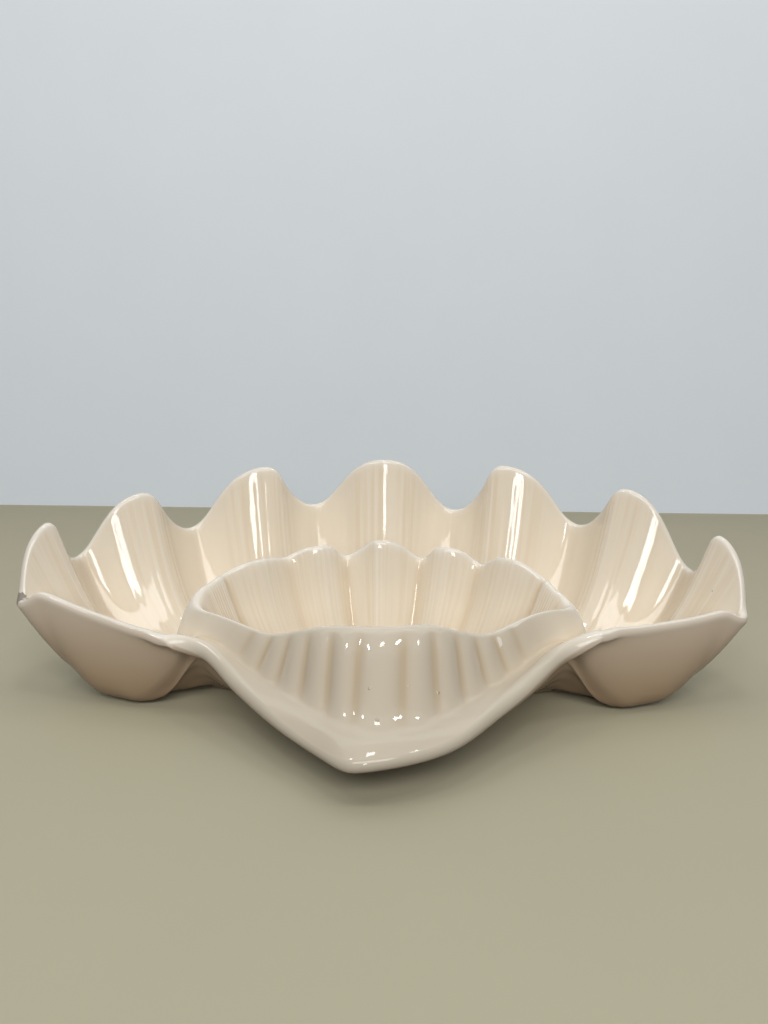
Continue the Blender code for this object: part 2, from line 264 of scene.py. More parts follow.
def upper_rows(place):
    """Control rows of the upper sheet, the lip's thickness and the height of the hollow."""
    lines = around(place)
    rim, bowl, channel = lines[:, RIM], lines[:, BOWL], lines[:, CHANNEL]
    steep = lines[:, STEEP:STEEP + 1]
    dome = np.clip(lines[:, DOME:DOME + 1], 0, 1)
    lip = FAN_LIP + (HINGE_LIP - FAN_LIP) * lines[:, ROLL:ROLL + 1]

    angle = np.arctan2((bowl[:, 1] - FLOOR_Y) / FLOOR_HALF_WIDTH, bowl[:, 0] / FLOOR_HALF_LENGTH)
    floor = np.stack([FLOOR_HALF_LENGTH * np.cos(angle),
                      FLOOR_Y + FLOOR_HALF_WIDTH * np.sin(angle), 0 * angle + WALL], -1)
    middle = np.array([0, FLOOR_Y, WALL]) + 0 * floor

    flat, up = np.array([1, 1, 0]), np.array([[0, 0, 1]])
    outward = unit((channel - bowl) * flat)
    inward = unit((floor - bowl) * flat)
    reach = np.linalg.norm((channel - bowl) * flat, axis=1, keepdims=True)
    fit = np.clip(reach / FULL_REACH, 0.3, 1)
    drop = (bowl - channel)[:, 2:3]

    thin = [bowl + outward * w * BOWL_EDGE * fit - up * (drop * d if d else BOWL_EDGE_ROUND * fit)
            for w, d in EDGE_STEPS]
    broad = [between(bowl, channel, *step) for step in DOME_STEPS]
    over = [t * (1 - dome) + b * dome for t, b in zip(thin, broad)]
    inner_edge = (bowl + inward * BOWL_EDGE * (1 + DOME_EDGE * dome)
                  - up * BOWL_EDGE_ROUND * (1 + DOME_ROUND * dome))

    def wall_point(tip, share):
        point = channel + (tip - channel) * share
        point[:, 2:3] = channel[:, 2:3] + (tip - channel)[:, 2:3] * share ** steep
        return point

    tip = rim - unit(rim - wall_point(rim, .9)) * lip / 2
    upper = [middle, (middle + floor) / 2, floor]
    upper += [between(floor, bowl, *step) for step in BOWL_STEPS]
    upper += [inner_edge, bowl, *over, channel]
    upper += [wall_point(tip, share) for share in WALL_SHARES] + [tip]
    return np.array(upper), lip, lines[:, HOLLOW]


def upper_sheet(place, ring):
    """Points of the upper sheet, one row for each ring of the section."""
    return across(upper_rows(place)[0], ring)


def sheet_normals(place, ring):
    """Unit normals of the upper sheet: the cross product of its slopes both ways."""
    step = 0.01
    low_ring, high_ring = np.maximum(ring - step, 0), np.minimum(ring + step, LAST_ROW)
    turn = upper_sheet(place + step, ring) - upper_sheet(place - step, ring)
    climb = upper_sheet(place, high_ring) - upper_sheet(place, low_ring)
    return unit(np.cross(climb, turn))


spot = upper_sheet(np.array([0.0, 25.0]), np.array([7.0, 17.0]))
print("dome crest and back ridge in mm:", (1000 * spot[0, 0]).round(), (1000 * spot[1, 1]).round())

# %% [markdown]
# ### The underside
#
# Slip casting leaves a wall of even thickness, so under the channel and the outer wall the
# lower sheet is the upper one moved inwards by the wall. Under the bowl's thin edge that would
# fold over itself, so the underside has a plain low hump there instead. Everything that would
# go below the table is cut level, which gives the shell flat places to stand on.

# %% Lower sheet
def lower_sheet(place, ring):
    """Points of the underside: explicit heights under the bowl, one wall down elsewhere."""
    upper, lip, hollow = upper_rows(place)
    lower = upper.copy()
    lower[:3, :, 2] = 0
    for row, share in enumerate(HOLLOW_CLIMB, 3):
        lower[row, :, 2] = hollow * share
    bottom = upper[CHANNEL_ROW, :, 2] - WALL
    for row, share in enumerate(HOLLOW_FALL, 3 + len(HOLLOW_CLIMB)):
        lower[row, :, 2] = bottom + (hollow - bottom) * share
    rows = np.arange(CHANNEL_ROW, LAST_ROW + 1)
    growth = np.clip((rows - (LAST_ROW - 2)) / 2, 0, 1)[:, None, None] ** 2
    depth = WALL + (lip[None] - WALL) * growth
    lower[rows] = upper[rows] - sheet_normals(place, rows) * depth
    points = across(lower, ring)
    points[:, :, 2] = np.maximum(points[:, :, 2], 0)
    return points


print("lip from", 1000 * FAN_LIP, "to", 1000 * HINGE_LIP, "mm")

# %% [markdown]
# ### Ribs and fine fluting
#
# Three sets of small ribs were cut into the mould. Round ribs with narrow grooves run down the
# dome. Each ridge of the fan carries a handful of faint flutes, and the wall of the dip bowl
# has finer ones still. All are relief: a small height along the surface's normal, a wave in
# `place` that is faded in and out along `ring`.

# %% Relief
DOME_RIB_HEIGHT = 0.0008    # m, as the flutes' heights are
DOME_RIBS_EACH_SIDE = 6
MIDDLE_RIB = 0.9            # in stations
RIB_PITCH = 0.6             # the same, for the narrower ribs beside it
GROOVE_WIDTH = 0.13         # share of a rib's pitch
FLUTE_HEIGHT = 0.00008
FLUTES_PER_STATION = 3.4
BOWL_FLUTE_HEIGHT = 0.00003
BOWL_FLUTES_PER_STATION = 2.9
FIRST_RIDGE = len(TONGUE_AND_HINGE)
RIDGE_SPACING = 4           # stations from one ridge to the next
LAST_RIDGE = COUNT - FIRST_RIDGE


def fade(value, start, end):
    """A smooth step from 0 at start to 1 at end; it also runs downhill if end is less."""
    t = np.clip((value - start) / (end - start), 0, 1)
    return t * t * (3 - 2 * t)


def from_ridge(place):
    """Distance in stations to the nearest ridge of the fan; large along the hinge."""
    inside = (place > FIRST_RIDGE - 2) & (place < LAST_RIDGE + 2)
    half = RIDGE_SPACING / 2
    near = np.abs((place - FIRST_RIDGE + half) % RIDGE_SPACING - half)
    return np.where(inside, near, half)


def from_tongue(place):
    """Distance in stations from the tongue, whichever way round is shorter."""
    return np.abs((place + COUNT / 2) % COUNT - COUNT / 2)


def over_fan(place, start, full):
    """1 over the fan, growing from `start` to `full` stations before its first ridge."""
    return (fade(place, FIRST_RIDGE - start, FIRST_RIDGE - full)
            * fade(place, LAST_RIDGE + start, LAST_RIDGE + full))


def dome_pattern(place):
    """Round crests and narrow grooves of the dome's ribs, and how far they reach sideways."""
    away = from_tongue(place)
    half = MIDDLE_RIB / 2
    turns = np.where(away < half, away / MIDDLE_RIB, .5 + (away - half) / RIB_PITCH)
    groove = np.exp(-((turns % 1 - .5) / GROOVE_WIDTH) ** 2)
    last = half + DOME_RIBS_EACH_SIDE * RIB_PITCH
    return np.cos(2 * np.pi * turns), groove, fade(away, last + .2, last - 1.2)


def dome_length(ring):
    """The ribs start below the bowl's edge and die out on the apron."""
    return fade(ring, 7.3, 8.9) * fade(ring, 12.4, 9.9)


def dome_ribs(place, ring):
    """Round ribs parted by narrow grooves, from below the bowl's edge down to the apron."""
    crest, groove, side = dome_pattern(place)
    wave = crest * .6 + .4 - groove * .8
    return DOME_RIB_HEIGHT * (wave * side)[None, :] * dome_length(ring)[:, None]


def ridge_flutes(place, ring):
    """Faint flutes up the inside of each ridge: two waves mixed, so that no two are alike."""
    wave = (np.cos(2 * np.pi * FLUTES_PER_STATION * place)
            + .6 * np.cos(2 * np.pi * 1.37 * FLUTES_PER_STATION * place + 1.1))
    side = fade(from_ridge(place), 1.25, .7)
    length = fade(ring, 12.2, 13.6) * fade(ring, 16.9, 16.2)
    return FLUTE_HEIGHT * (wave * side)[None, :] * length[:, None]


def bowl_flutes(place, ring):
    """Finer flutes down the inside of the dip bowl, at its back and its ends."""
    wave = (np.cos(2 * np.pi * BOWL_FLUTES_PER_STATION * place + .5)
            + .5 * np.cos(2 * np.pi * 1.61 * BOWL_FLUTES_PER_STATION * place))
    side = over_fan(place, 4, 1)
    length = fade(ring, 2.9, 4.4) * fade(ring, 6.6, 5.9)
    return BOWL_FLUTE_HEIGHT * (wave * side)[None, :] * length[:, None]


print("ridges at the places", list(range(FIRST_RIDGE, LAST_RIDGE + 1, RIDGE_SPACING)))

# %% [markdown]
# ### From formula to mesh
#
# The surface is read on a grid of columns around and rings across. Columns are spent where the
# relief is fine: a density is summed along `place` and turned round, so that the columns stand
# close on the ridges and the dome and far apart along the plain hinge. The rim is a half circle
# between the two sheets, and the middle of the floor closes with a fan of triangles above and
# one below.

# %% Columns and rings
COLUMNS = 752
DENSITY = {"hinge": 7, "fan": 13, "ridge": 25, "dome": 14}      # columns in each station


def column_places():
    """Places of the columns: equal steps of the summed density."""
    place = np.linspace(0, COUNT, 5001)
    fan = over_fan(place, 4, 2)
    density = (DENSITY["hinge"] + (DENSITY["fan"] - DENSITY["hinge"]) * fan
               + (DENSITY["ridge"] - DENSITY["fan"]) * fade(from_ridge(place), 1.5, 1.0)
               + (DENSITY["dome"] - DENSITY["hinge"]) * fade(from_tongue(place), 5.5, 4.5))
    total = np.concatenate([[0], np.cumsum((density[1:] + density[:-1]) / 2)])
    return np.interp(np.arange(COLUMNS) / COLUMNS, total / total[-1], place)


TOP_RINGS = np.concatenate([np.linspace(.5, 5.4, 20)[:-1], np.linspace(5.4, 8.2, 24)[:-1],
                            np.linspace(8.2, 12.6, 20)[:-1], np.linspace(12.6, LAST_ROW, 24)])
LIP_TURNS = np.linspace(0, 180, 11)[1:]
UNDER_RINGS = np.concatenate([np.linspace(LAST_ROW, 14, 10)[1:], np.linspace(14, 1.6, 24)[1:]])
RINGS = len(TOP_RINGS) + len(LIP_TURNS) + len(UNDER_RINGS)
PLACES = column_places()
print(COLUMNS, "columns,", RINGS, "rings,", 2 * COLUMNS * RINGS, "triangles")


# %% Surface
def shell_grid():
    """Every point of the closed shell as one grid: upper sheet, half circle, underside.

    The half circle at the rim is centre + r (cos t * up + sin t * out), t from 0 to 180."""
    normals = sheet_normals(PLACES, TOP_RINGS)
    relief = sum(kind(PLACES, TOP_RINGS) for kind in (dome_ribs, ridge_flutes, bowl_flutes))
    top = upper_sheet(PLACES, TOP_RINGS) + normals * relief[:, :, None]
    outward = unit(top[-1] - upper_sheet(PLACES, np.array([LAST_ROW - .05]))[0])
    upward = normals[-1]
    radius = upper_rows(PLACES)[1] / 2
    lip = np.array([top[-1] - upward * radius + radius * (np.cos(t) * upward + np.sin(t) * outward)
                    for t in np.radians(LIP_TURNS)])
    return np.concatenate([top, lip, lower_sheet(PLACES, UNDER_RINGS)])


def recentred(grid):
    """The grid moved sideways so that the middle of its box is over the origin."""
    flat = grid[:, :, :2].reshape(-1, 2)
    middle = (flat.min(axis=0) + flat.max(axis=0)) / 2
    return grid - np.array([*middle, 0]), middle


GRID, MIDDLE = recentred(shell_grid())
print("moved by", (1000 * MIDDLE).round(2), "mm")


# %% Mesh from the grid
def grid_mesh(name, grid, pole_top, pole_bottom):
    """Closed mesh: quads between the rings, cut into triangles by a fan at either pole."""
    rings, columns = grid.shape[:2]
    points = np.concatenate([grid.reshape(-1, 3), [pole_top, pole_bottom]])
    index = np.arange(rings * columns).reshape(rings, columns)
    right = np.roll(index, -1, axis=1)
    quads = np.stack([index[:-1], index[1:], right[1:], right[:-1]], -1).reshape(-1, 4)
    top = np.stack([index[0], right[0], np.full(columns, rings * columns)], -1)
    bottom = np.stack([right[-1], index[-1], np.full(columns, rings * columns + 1)], -1)
    corners = np.concatenate([quads.ravel(), top.ravel(), bottom.ravel()])
    sizes = np.concatenate([np.full(len(quads), 4), np.full(2 * columns, 3)])
    mesh = bpy.data.meshes.new(name)
    mesh.vertices.add(len(points))
    mesh.vertices.foreach_set("co", points.ravel())
    mesh.loops.add(len(corners))
    mesh.loops.foreach_set("vertex_index", corners.astype(np.int32))
    mesh.polygons.add(len(sizes))
    starts = np.concatenate([[0], np.cumsum(sizes)[:-1]])
    mesh.polygons.foreach_set("loop_start", starts.astype(np.int32))
    mesh.polygons.foreach_set("loop_total", sizes.astype(np.int32))
    mesh.update(calc_edges=True)
    mesh.validate()
    mesh.shade_smooth()
    return mesh


centre = np.array([-MIDDLE[0], FLOOR_Y - MIDDLE[1]])
shell_mesh = grid_mesh("clam_shell", GRID, [*centre, WALL], [*centre, 0])
shell = bpy.data.objects.new("clam_shell", shell_mesh)
bpy.context.scene.collection.objects.link(shell)
print(len(shell_mesh.vertices), "points,", len(shell_mesh.polygons), "faces")

# %% [markdown]
# ### Where the glaze runs thin
#
# A glaze melts and flows: it thins over convex edges and pools in hollows. That is worked out
# here once, from the shape, and stored on the mesh. Along each direction of the grid the bend
# of the surface is (change of normal) . (change of position) / (step length squared), which is
# positive over an edge and negative in a hollow; the mean of both directions is the value.

# %% Bend of the surface
def grid_slopes(grid):
    """Central differences along and around the grid; around, the grid closes on itself."""
    along = np.gradient(grid, axis=0)
    turn = (np.roll(grid, -1, axis=1) - np.roll(grid, 1, axis=1)) / 2
    return along, turn


def grid_bend(grid):
    """Mean bend in 1/m at each point, positive where the surface is convex."""
    along, turn = grid_slopes(grid)
    normal = unit(np.cross(along, turn))
    along_change, turn_change = grid_slopes(normal)
    bend = sum((change * step).sum(-1) / np.maximum((step * step).sum(-1), 1e-9)
               for change, step in ((along_change, along), (turn_change, turn)))
    return bend / 2


def smoothed(values, times):
    """Values averaged with their neighbours, 1/4 + 1/2 + 1/4 both ways, several times."""
    for _ in range(times):
        padded = np.pad(values, ((1, 1), (0, 0)), mode="edge")
        values = (padded[:-2] + 2 * padded[1:-1] + padded[2:]) / 4
        values = (np.roll(values, 1, 1) + 2 * values + np.roll(values, -1, 1)) / 4
    return values


def store(mesh, name, values, poles=(0.0, 0.0)):
    """A value for each grid point and for the upper and lower pole, kept as an attribute."""
    layer = mesh.attributes.new(name, "FLOAT", "POINT")
    layer.data.foreach_set("value", np.append(values.ravel(), poles).astype(np.float32))


BEND_SCALE = 90             # 1/m: a bend that counts as well rounded
BEND = smoothed(grid_bend(GRID), 3)
store(shell_mesh, "bend", np.tanh(BEND / BEND_SCALE))
print("bend from", BEND.min().round(), "to", BEND.max().round(), "1/m")


# %% Coordinates along the surface
def store_uv(mesh, columns, rings):
    """UV map of the grid: U is the place as a share of the round, V the ring's share."""
    row = np.arange(rings)[:, None] + np.zeros((1, columns))
    u = np.append((PLACES / COUNT)[None, :].repeat(rings, 0).ravel(), [0, 0])
    v = np.append((row / (rings - 1)).ravel(), [0, 1])
    corner = np.zeros(len(mesh.loops), np.int32)
    mesh.loops.foreach_get("vertex_index", corner)
    uv = np.stack([u[corner], v[corner]], -1)
    layer = mesh.uv_layers.new(name="surface")
    layer.data.foreach_set("uv", uv.ravel().astype(np.float32))


BEYOND = 99.0               # a ring past them all, where every fade has ended
PAINTED_SHADE_TOP = 0.10          # m: below this height painted shade darkens the outside


def over_rings(values, rest):
    """Values for the rings of the upper sheet, and `rest` for the lip and the underside."""
    return np.append(values, np.full(RINGS - len(TOP_RINGS), rest))


def flute_mask():
    """Where the fine fluting shows in the glaze: up the ridges and down the bowl's wall."""
    rings = over_rings(TOP_RINGS, BEYOND)
    ridge = (fade(from_ridge(PLACES), 1.5, .8)[None, :]
             * (fade(rings, 12.0, 13.4) * fade(rings, 17.2, 16.4))[:, None])
    bowl = (over_fan(PLACES, 4, 1)[None, :]
            * (fade(rings, 2.6, 4.2) * fade(rings, 6.8, 6.2))[:, None])
    return np.clip(ridge + .6 * bowl, 0, 1)


def groove_mask():
    """Where the glaze pools between the dome's ribs."""
    groove, side = dome_pattern(PLACES)[1:]
    return (groove * side)[None, :] * over_rings(dome_length(TOP_RINGS), 0.0)[:, None]


def painted_shade_hinge_mask():
    """Painted shade on the folded hinge in front: the dome, the tongue and its lip."""
    rings = over_rings(TOP_RINGS, LAST_ROW)
    return fade(from_tongue(PLACES), 5.2, 3.2)[None, :] * fade(rings, 6.6, 8.0)[:, None]


def painted_shade_outside_mask():
    """Painted shade on the outside of the shell, darker from the rim down to the feet."""
    under = np.arange(RINGS) > len(TOP_RINGS) + len(LIP_TURNS) / 2
    return under[:, None] * fade(GRID[:, :, 2], PAINTED_SHADE_TOP, .0)


store_uv(shell_mesh, COLUMNS, RINGS)
# the hinge mask is painted shade: it greys the dome and the tongue in front
store(shell_mesh, "hinge", painted_shade_hinge_mask())
# the outside mask is painted shade: it darkens and browns the outside towards the feet
store(shell_mesh, "outside", painted_shade_outside_mask(), (0.0, 1.0))
store(shell_mesh, "fluting", flute_mask())
store(shell_mesh, "grooves", groove_mask())
print("stored a UV map and the masks of hinge, outside, fluting and grooves")

# %% [markdown]
# ## The glaze
#
# The finish is a warm cream glaze over white clay. Seen close, four things make it: the colour
# deepens where it pools and pales where it thins over rims and ribs; faint streaks follow the
# flutes; the surface is glassy but gently rippled, so that a window's reflection wavers; and
# here and there a pinhole breaks it. Each of these is a node group, so that any other glazed
# piece can use it with its own values.

# %% Node group helpers
def new_group(name, inputs, outputs):
    """A shader node group with (name, kind, default) inputs and (name, kind) outputs."""
    group = bpy.data.node_groups.new(name, "ShaderNodeTree")
    for title, kind, default in inputs:
        socket = group.interface.new_socket(title, in_out="INPUT", socket_type="NodeSocket" + kind)
        socket.default_value = default
    for title, kind in outputs:
        group.interface.new_socket(title, in_out="OUTPUT", socket_type="NodeSocket" + kind)
    return group, group.nodes.new("NodeGroupInput"), group.nodes.new("NodeGroupOutput")


def add(tree, kind, values=None, links=None, **settings):
    """A node with its settings, socket values and incoming links given in one line."""
    node = tree.nodes.new("ShaderNode" + kind)
    for key, value in settings.items():
        setattr(node, key, value)
    for key, value in (values or {}).items():
        node.inputs[key].default_value = value
    for key, socket in (links or {}).items():
        tree.links.new(socket, node.inputs[key])
    return node


def math_node(tree, operation, first, second):
    """One Math node; each side is a number or a socket."""
    node = tree.nodes.new("ShaderNodeMath")
    node.operation = operation
    for index, side in enumerate((first, second)):
        if isinstance(side, (int, float)):
            node.inputs[index].default_value = side
        else:
            tree.links.new(side, node.inputs[index])
    return node.outputs[0]


def mixed(tree, factor, first, second):
    """A colour Mix node; factor is a socket, each colour a tuple or a socket."""
    node = add(tree, "Mix", data_type="RGBA")
    tree.links.new(factor, node.inputs[0])
    colours = [socket for socket in node.inputs if socket.type == "RGBA"]
    for socket, side in zip(colours, (first, second)):
        if isinstance(side, tuple):
            socket.default_value = side
        else:
            tree.links.new(side, socket)
    return next(socket for socket in node.outputs if socket.type == "RGBA")


def ramp(tree, value, start, end):
    """A Map Range node: a smooth step from 0 at start to 1 at end."""
    node = add(tree, "MapRange", interpolation_type="SMOOTHSTEP",
               values={"From Min": start, "From Max": end}, links={"Value": value})
    return node.outputs["Result"]


def distance_to(group, centre):
    """How far each point is from a centre, in object coordinates; also those coordinates."""
    place = add(group, "TexCoord").outputs["Object"]
    node = add(group, "VectorMath", operation="DISTANCE")
    group.links.new(place, node.inputs[0])
    group.links.new(centre, node.inputs[1])
    return node.outputs["Value"], place


print("node helpers ready")

# %% [markdown]
# ### Colour
#
# One group turns the bend of the surface into colour. It mixes from a deep apricot where the
# glaze pools, through the body colour, to a pale cream on the edges. Broad soft clouds shift it
# a little, because dipping never leaves an even coat. Two masks kept on the mesh tell the
# material where painted shade greys the folded hinge and darkens the outside towards the feet.

# %% Group: pooled glaze
FLAT_BEND, THIN_BEND, DEEP_BEND = .05, 1.25, -1.3   # where the mixing starts, and both its ends


def pooled_glaze_group():
    """Colour = pool -> body -> edge by the bend, shifted a little by soft clouds."""
    colours = [("Pool", "Color", (.76, .61, .42, 1)), ("Body", "Color", (.87, .78, .635, 1)),
               ("Edge", "Color", (.91, .855, .755, 1))]
    group, inside, outside = new_group(
        "pooled_glaze",
        [("Bend", "Float", 0.0), *colours, ("Cloud Scale", "Float", 12.0),
         ("Clouds", "Float", .12)],
        [("Color", "Color")])
    place = add(group, "TexCoord").outputs["Object"]
    cloud = add(group, "TexNoise", values={"Detail": 3.0, "Roughness": .55},
                links={"Vector": place, "Scale": inside.outputs["Cloud Scale"]})
    shift = math_node(group, "MULTIPLY", math_node(group, "SUBTRACT", cloud.outputs["Fac"], .5),
                      inside.outputs["Clouds"])
    bend = math_node(group, "ADD", inside.outputs["Bend"], shift)
    thin = ramp(group, bend, FLAT_BEND, THIN_BEND)
    pooled = ramp(group, bend, FLAT_BEND, DEEP_BEND)
    colour = mixed(group, thin, inside.outputs["Body"], inside.outputs["Edge"])
    colour = mixed(group, pooled, colour, inside.outputs["Pool"])
    group.links.new(colour, outside.inputs["Color"])
    return group


POOLED = pooled_glaze_group()
print(POOLED.name, [item.name for item in POOLED.interface.items_tree])

# %% [markdown]
# ### Streaks, ripples and pinholes
#
# The streaks are noise read on the surface's own UV map, squeezed around and stretched across,
# so that they run up each ridge. The ripples and the pinholes are heights for the bump, read on
# object coordinates in metres.

# %% Group: streaks
STREAK_START, STREAK_FULL = .42, .66    # noise values that begin and complete a streak


def streaks_group():
    """Streaks along the flutes: noise over (U times Fineness, V times a little)."""
    group, inside, outside = new_group(
        "streaks",
        [("Mask", "Float", 1.0), ("Fineness", "Float", 260.0), ("Length", "Float", 3.0)],
        [("Streaks", "Float")])
    uv = add(group, "UVMap", uv_map="surface").outputs["UV"]
    axes = add(group, "SeparateXYZ", links={"Vector": uv})
    stretched = add(group, "CombineXYZ", links={
        "X": math_node(group, "MULTIPLY", axes.outputs["X"], inside.outputs["Fineness"]),
        "Y": math_node(group, "MULTIPLY", axes.outputs["Y"], inside.outputs["Length"])})
    noise = add(group, "TexNoise", values={"Scale": 1.0, "Detail": 2.0, "Roughness": .6},
                links={"Vector": stretched.outputs["Vector"]})
    found = ramp(group, noise.outputs["Fac"], STREAK_START, STREAK_FULL)
    streaks = math_node(group, "MULTIPLY", found, inside.outputs["Mask"])
    group.links.new(streaks, outside.inputs["Streaks"])
    return group


STREAKS = streaks_group()
print(STREAKS.name, "made")


# %% Group: ripples and pinholes
PINHOLE_DEPTH = .0002
BARE_CELLS = .8             # share of the pinhole pattern's cells that stay whole


def glaze_skin_group():
    """Height = slow ripple + fine ripple - pinholes, each given in metres; also the pinholes."""
    group, inside, outside = new_group(
        "glaze_skin",
        [("Ripple Scale", "Float", 34.0), ("Ripple", "Float", .00045),
         ("Fine Scale", "Float", 260.0), ("Fine", "Float", .00001),
         ("Pinhole Scale", "Float", 34.0), ("Pinhole Size", "Float", .022)],
        [("Height", "Float"), ("Pinholes", "Float")])
    place = add(group, "TexCoord").outputs["Object"]

    def ripple(scale, depth):
        noise = add(group, "TexNoise", values={"Detail": 1.0},
                    links={"Vector": place, "Scale": scale})
        return math_node(group, "MULTIPLY", noise.outputs["Fac"], depth)

    slow = ripple(inside.outputs["Ripple Scale"], inside.outputs["Ripple"])
    fine = ripple(inside.outputs["Fine Scale"], inside.outputs["Fine"])
    cells = add(group, "TexVoronoi",
                links={"Vector": place, "Scale": inside.outputs["Pinhole Scale"]})
    near = math_node(group, "LESS_THAN", cells.outputs["Distance"], inside.outputs["Pinhole Size"])
    chosen = add(group, "SeparateXYZ", links={"Vector": cells.outputs["Color"]})
    few = math_node(group, "GREATER_THAN", chosen.outputs["X"], BARE_CELLS)
    pinholes = math_node(group, "MULTIPLY", near, few)
    height = math_node(group, "SUBTRACT", math_node(group, "ADD", slow, fine),
                       math_node(group, "MULTIPLY", pinholes, PINHOLE_DEPTH))
    group.links.new(height, outside.inputs["Height"])
    group.links.new(pinholes, outside.inputs["Pinholes"])
    return group


SKIN = glaze_skin_group()
print(SKIN.name, "made")

# %% [markdown]
# ### A worn corner and four beads
#
# The left corner of the platter has been knocked: a few millimetres of glaze are gone and the
# clay under it has turned grey. It is a ball-shaped mask around a point, broken up by noise.
# Four tiny beads sit under the glaze of the apron, each a round bump about its own point.

# %% Group: worn spot
RAGGED = .008               # m: how far noise moves the worn spot's edge
WORN_START, WORN_FULL = 1.15, .85       # shares of its radius


def worn_spot_group():
    """1 inside a rough ball around Centre: distance plus noise, compared with Radius."""
    group, inside, outside = new_group(
        "worn_spot", [("Centre", "Vector", (0, 0, 0)), ("Radius", "Float", .004)],
        [("Worn", "Float")])
    away, place = distance_to(group, inside.outputs["Centre"])
    rough = add(group, "TexNoise", values={"Scale": 420.0, "Detail": 3.0}, links={"Vector": place})
    edge = math_node(group, "MULTIPLY",
                     math_node(group, "SUBTRACT", rough.outputs["Fac"], .5), RAGGED)
    share = math_node(group, "DIVIDE", math_node(group, "ADD", away, edge),
                      inside.outputs["Radius"])
    group.links.new(ramp(group, share, WORN_START, WORN_FULL), outside.inputs["Worn"])
    return group


WORN = worn_spot_group()
print(WORN.name, "made")


# %% Group: bead
BEAD_FOOT, BEAD_TOP = 1.0, .2           # shares of its radius


def bead_group():
    """Height of one small bead under the glaze: a round bump about Centre."""
    group, inside, outside = new_group(
        "bead", [("Centre", "Vector", (0, 0, 0)), ("Radius", "Float", .0012),
                 ("Rise", "Float", .0005)],
        [("Height", "Float")])
    away = distance_to(group, inside.outputs["Centre"])[0]
    share = math_node(group, "DIVIDE", away, inside.outputs["Radius"])
    group.links.new(math_node(group, "MULTIPLY", ramp(group, share, BEAD_FOOT, BEAD_TOP),
                              inside.outputs["Rise"]), outside.inputs["Height"])
    return group


BEAD = bead_group()
print(BEAD.name, "made")


# %% Material: glazed clay
WORN_CENTRE, WORN_RADIUS = (-0.2205, -0.0195, 0.0585), .0045
WORN_DEPTH, STREAK_DEPTH = .0004, .00002            # m, for the bump
GLOSS, WORN_ROUGHNESS, GLAZE_IOR = .055, .6, 1.5    # roughness of glaze; added where worn
BEAD_CENTRES = [(-0.0058, -0.1120, 0.0438), (0.0133, -0.1074, 0.0436),
                (0.0283, -0.1032, 0.0382), (-0.0019, -0.1239, 0.0333)]
TINTS = {                   # mask: how much of the colour is mixed in, in this order
    "streaks": (.34, (.72, .57, .38, 1)),
    # hinge: painted shade, greying the dome and the tongue in front
    "hinge": (.8, (.56, .485, .37, 1)),
    "grooves": (.6, (.50, .37, .22, 1)),
    # outside: painted shade, darker and browner towards the feet
    "outside": (.9, (.36, .235, .12, 1)),
    "pinholes": (.5, (.45, .34, .25, 1)),
    "worn": (1, (.30, .26, .22, 1)),
}


def use(tree, group, values=None, links=None):
    """A node group placed in a material with its own values."""
    return add(tree, "Group", values, links, node_tree=group)


def glazed_clay():
    """Glassy glaze: pooled colour under the tints, two of them painted shade; bump from ripples,
    streaks and beads.
    """
    material = bpy.data.materials.new("apricot_glaze")
    material.use_nodes = True
    tree = material.node_tree
    shader = tree.nodes["Principled BSDF"]
    masks = {name: add(tree, "Attribute", attribute_name=name).outputs["Fac"]
             for name in ("bend", "fluting", "grooves", "hinge", "outside")}
    pooled = use(tree, POOLED, links={"Bend": masks["bend"]})
    skin = use(tree, SKIN)
    streaks = use(tree, STREAKS, links={"Mask": masks["fluting"]}).outputs["Streaks"]
    worn = use(tree, WORN, {"Centre": WORN_CENTRE, "Radius": WORN_RADIUS}).outputs["Worn"]
    masks.update(streaks=streaks, worn=worn, pinholes=skin.outputs["Pinholes"])

    colour = pooled.outputs["Color"]
    for name, (share, tint) in TINTS.items():
        colour = mixed(tree, math_node(tree, "MULTIPLY", masks[name], share), colour, tint)
    tree.links.new(colour, shader.inputs["Base Color"])
    rough = math_node(tree, "ADD", math_node(tree, "MULTIPLY", worn, WORN_ROUGHNESS), GLOSS)
    tree.links.new(rough, shader.inputs["Roughness"])

    height = skin.outputs["Height"]
    for mask, depth in ((streaks, STREAK_DEPTH), (worn, WORN_DEPTH)):
        height = math_node(tree, "SUBTRACT", height, math_node(tree, "MULTIPLY", mask, depth))
    for centre in BEAD_CENTRES:
        bead = use(tree, BEAD, {"Centre": centre})
        height = math_node(tree, "ADD", height, bead.outputs["Height"])
    bump = add(tree, "Bump", values={"Strength": 1.0, "Distance": 1.0}, links={"Height": height})
    tree.links.new(bump.outputs["Normal"], shader.inputs["Normal"])
    shader.inputs["IOR"].default_value = GLAZE_IOR
    return material


shell_mesh.materials.append(glazed_clay())
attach(shell, "root")
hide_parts("platter")
print("the shell replaces the CAD node platter")

# %% [markdown]
# ## Studio
#
# A pale table and a pale blue-grey board behind it, like the photograph's but plain: a flat
# floor, and a wall that stands on it. The camera sees their pale colours. Light that bounces
# off the table is dimmed and browned, so that the feet keep a soft shadow and a warm tone.

# %% Stage
MOTTLE = .95                # the mottling's darker side, as a share of the colour


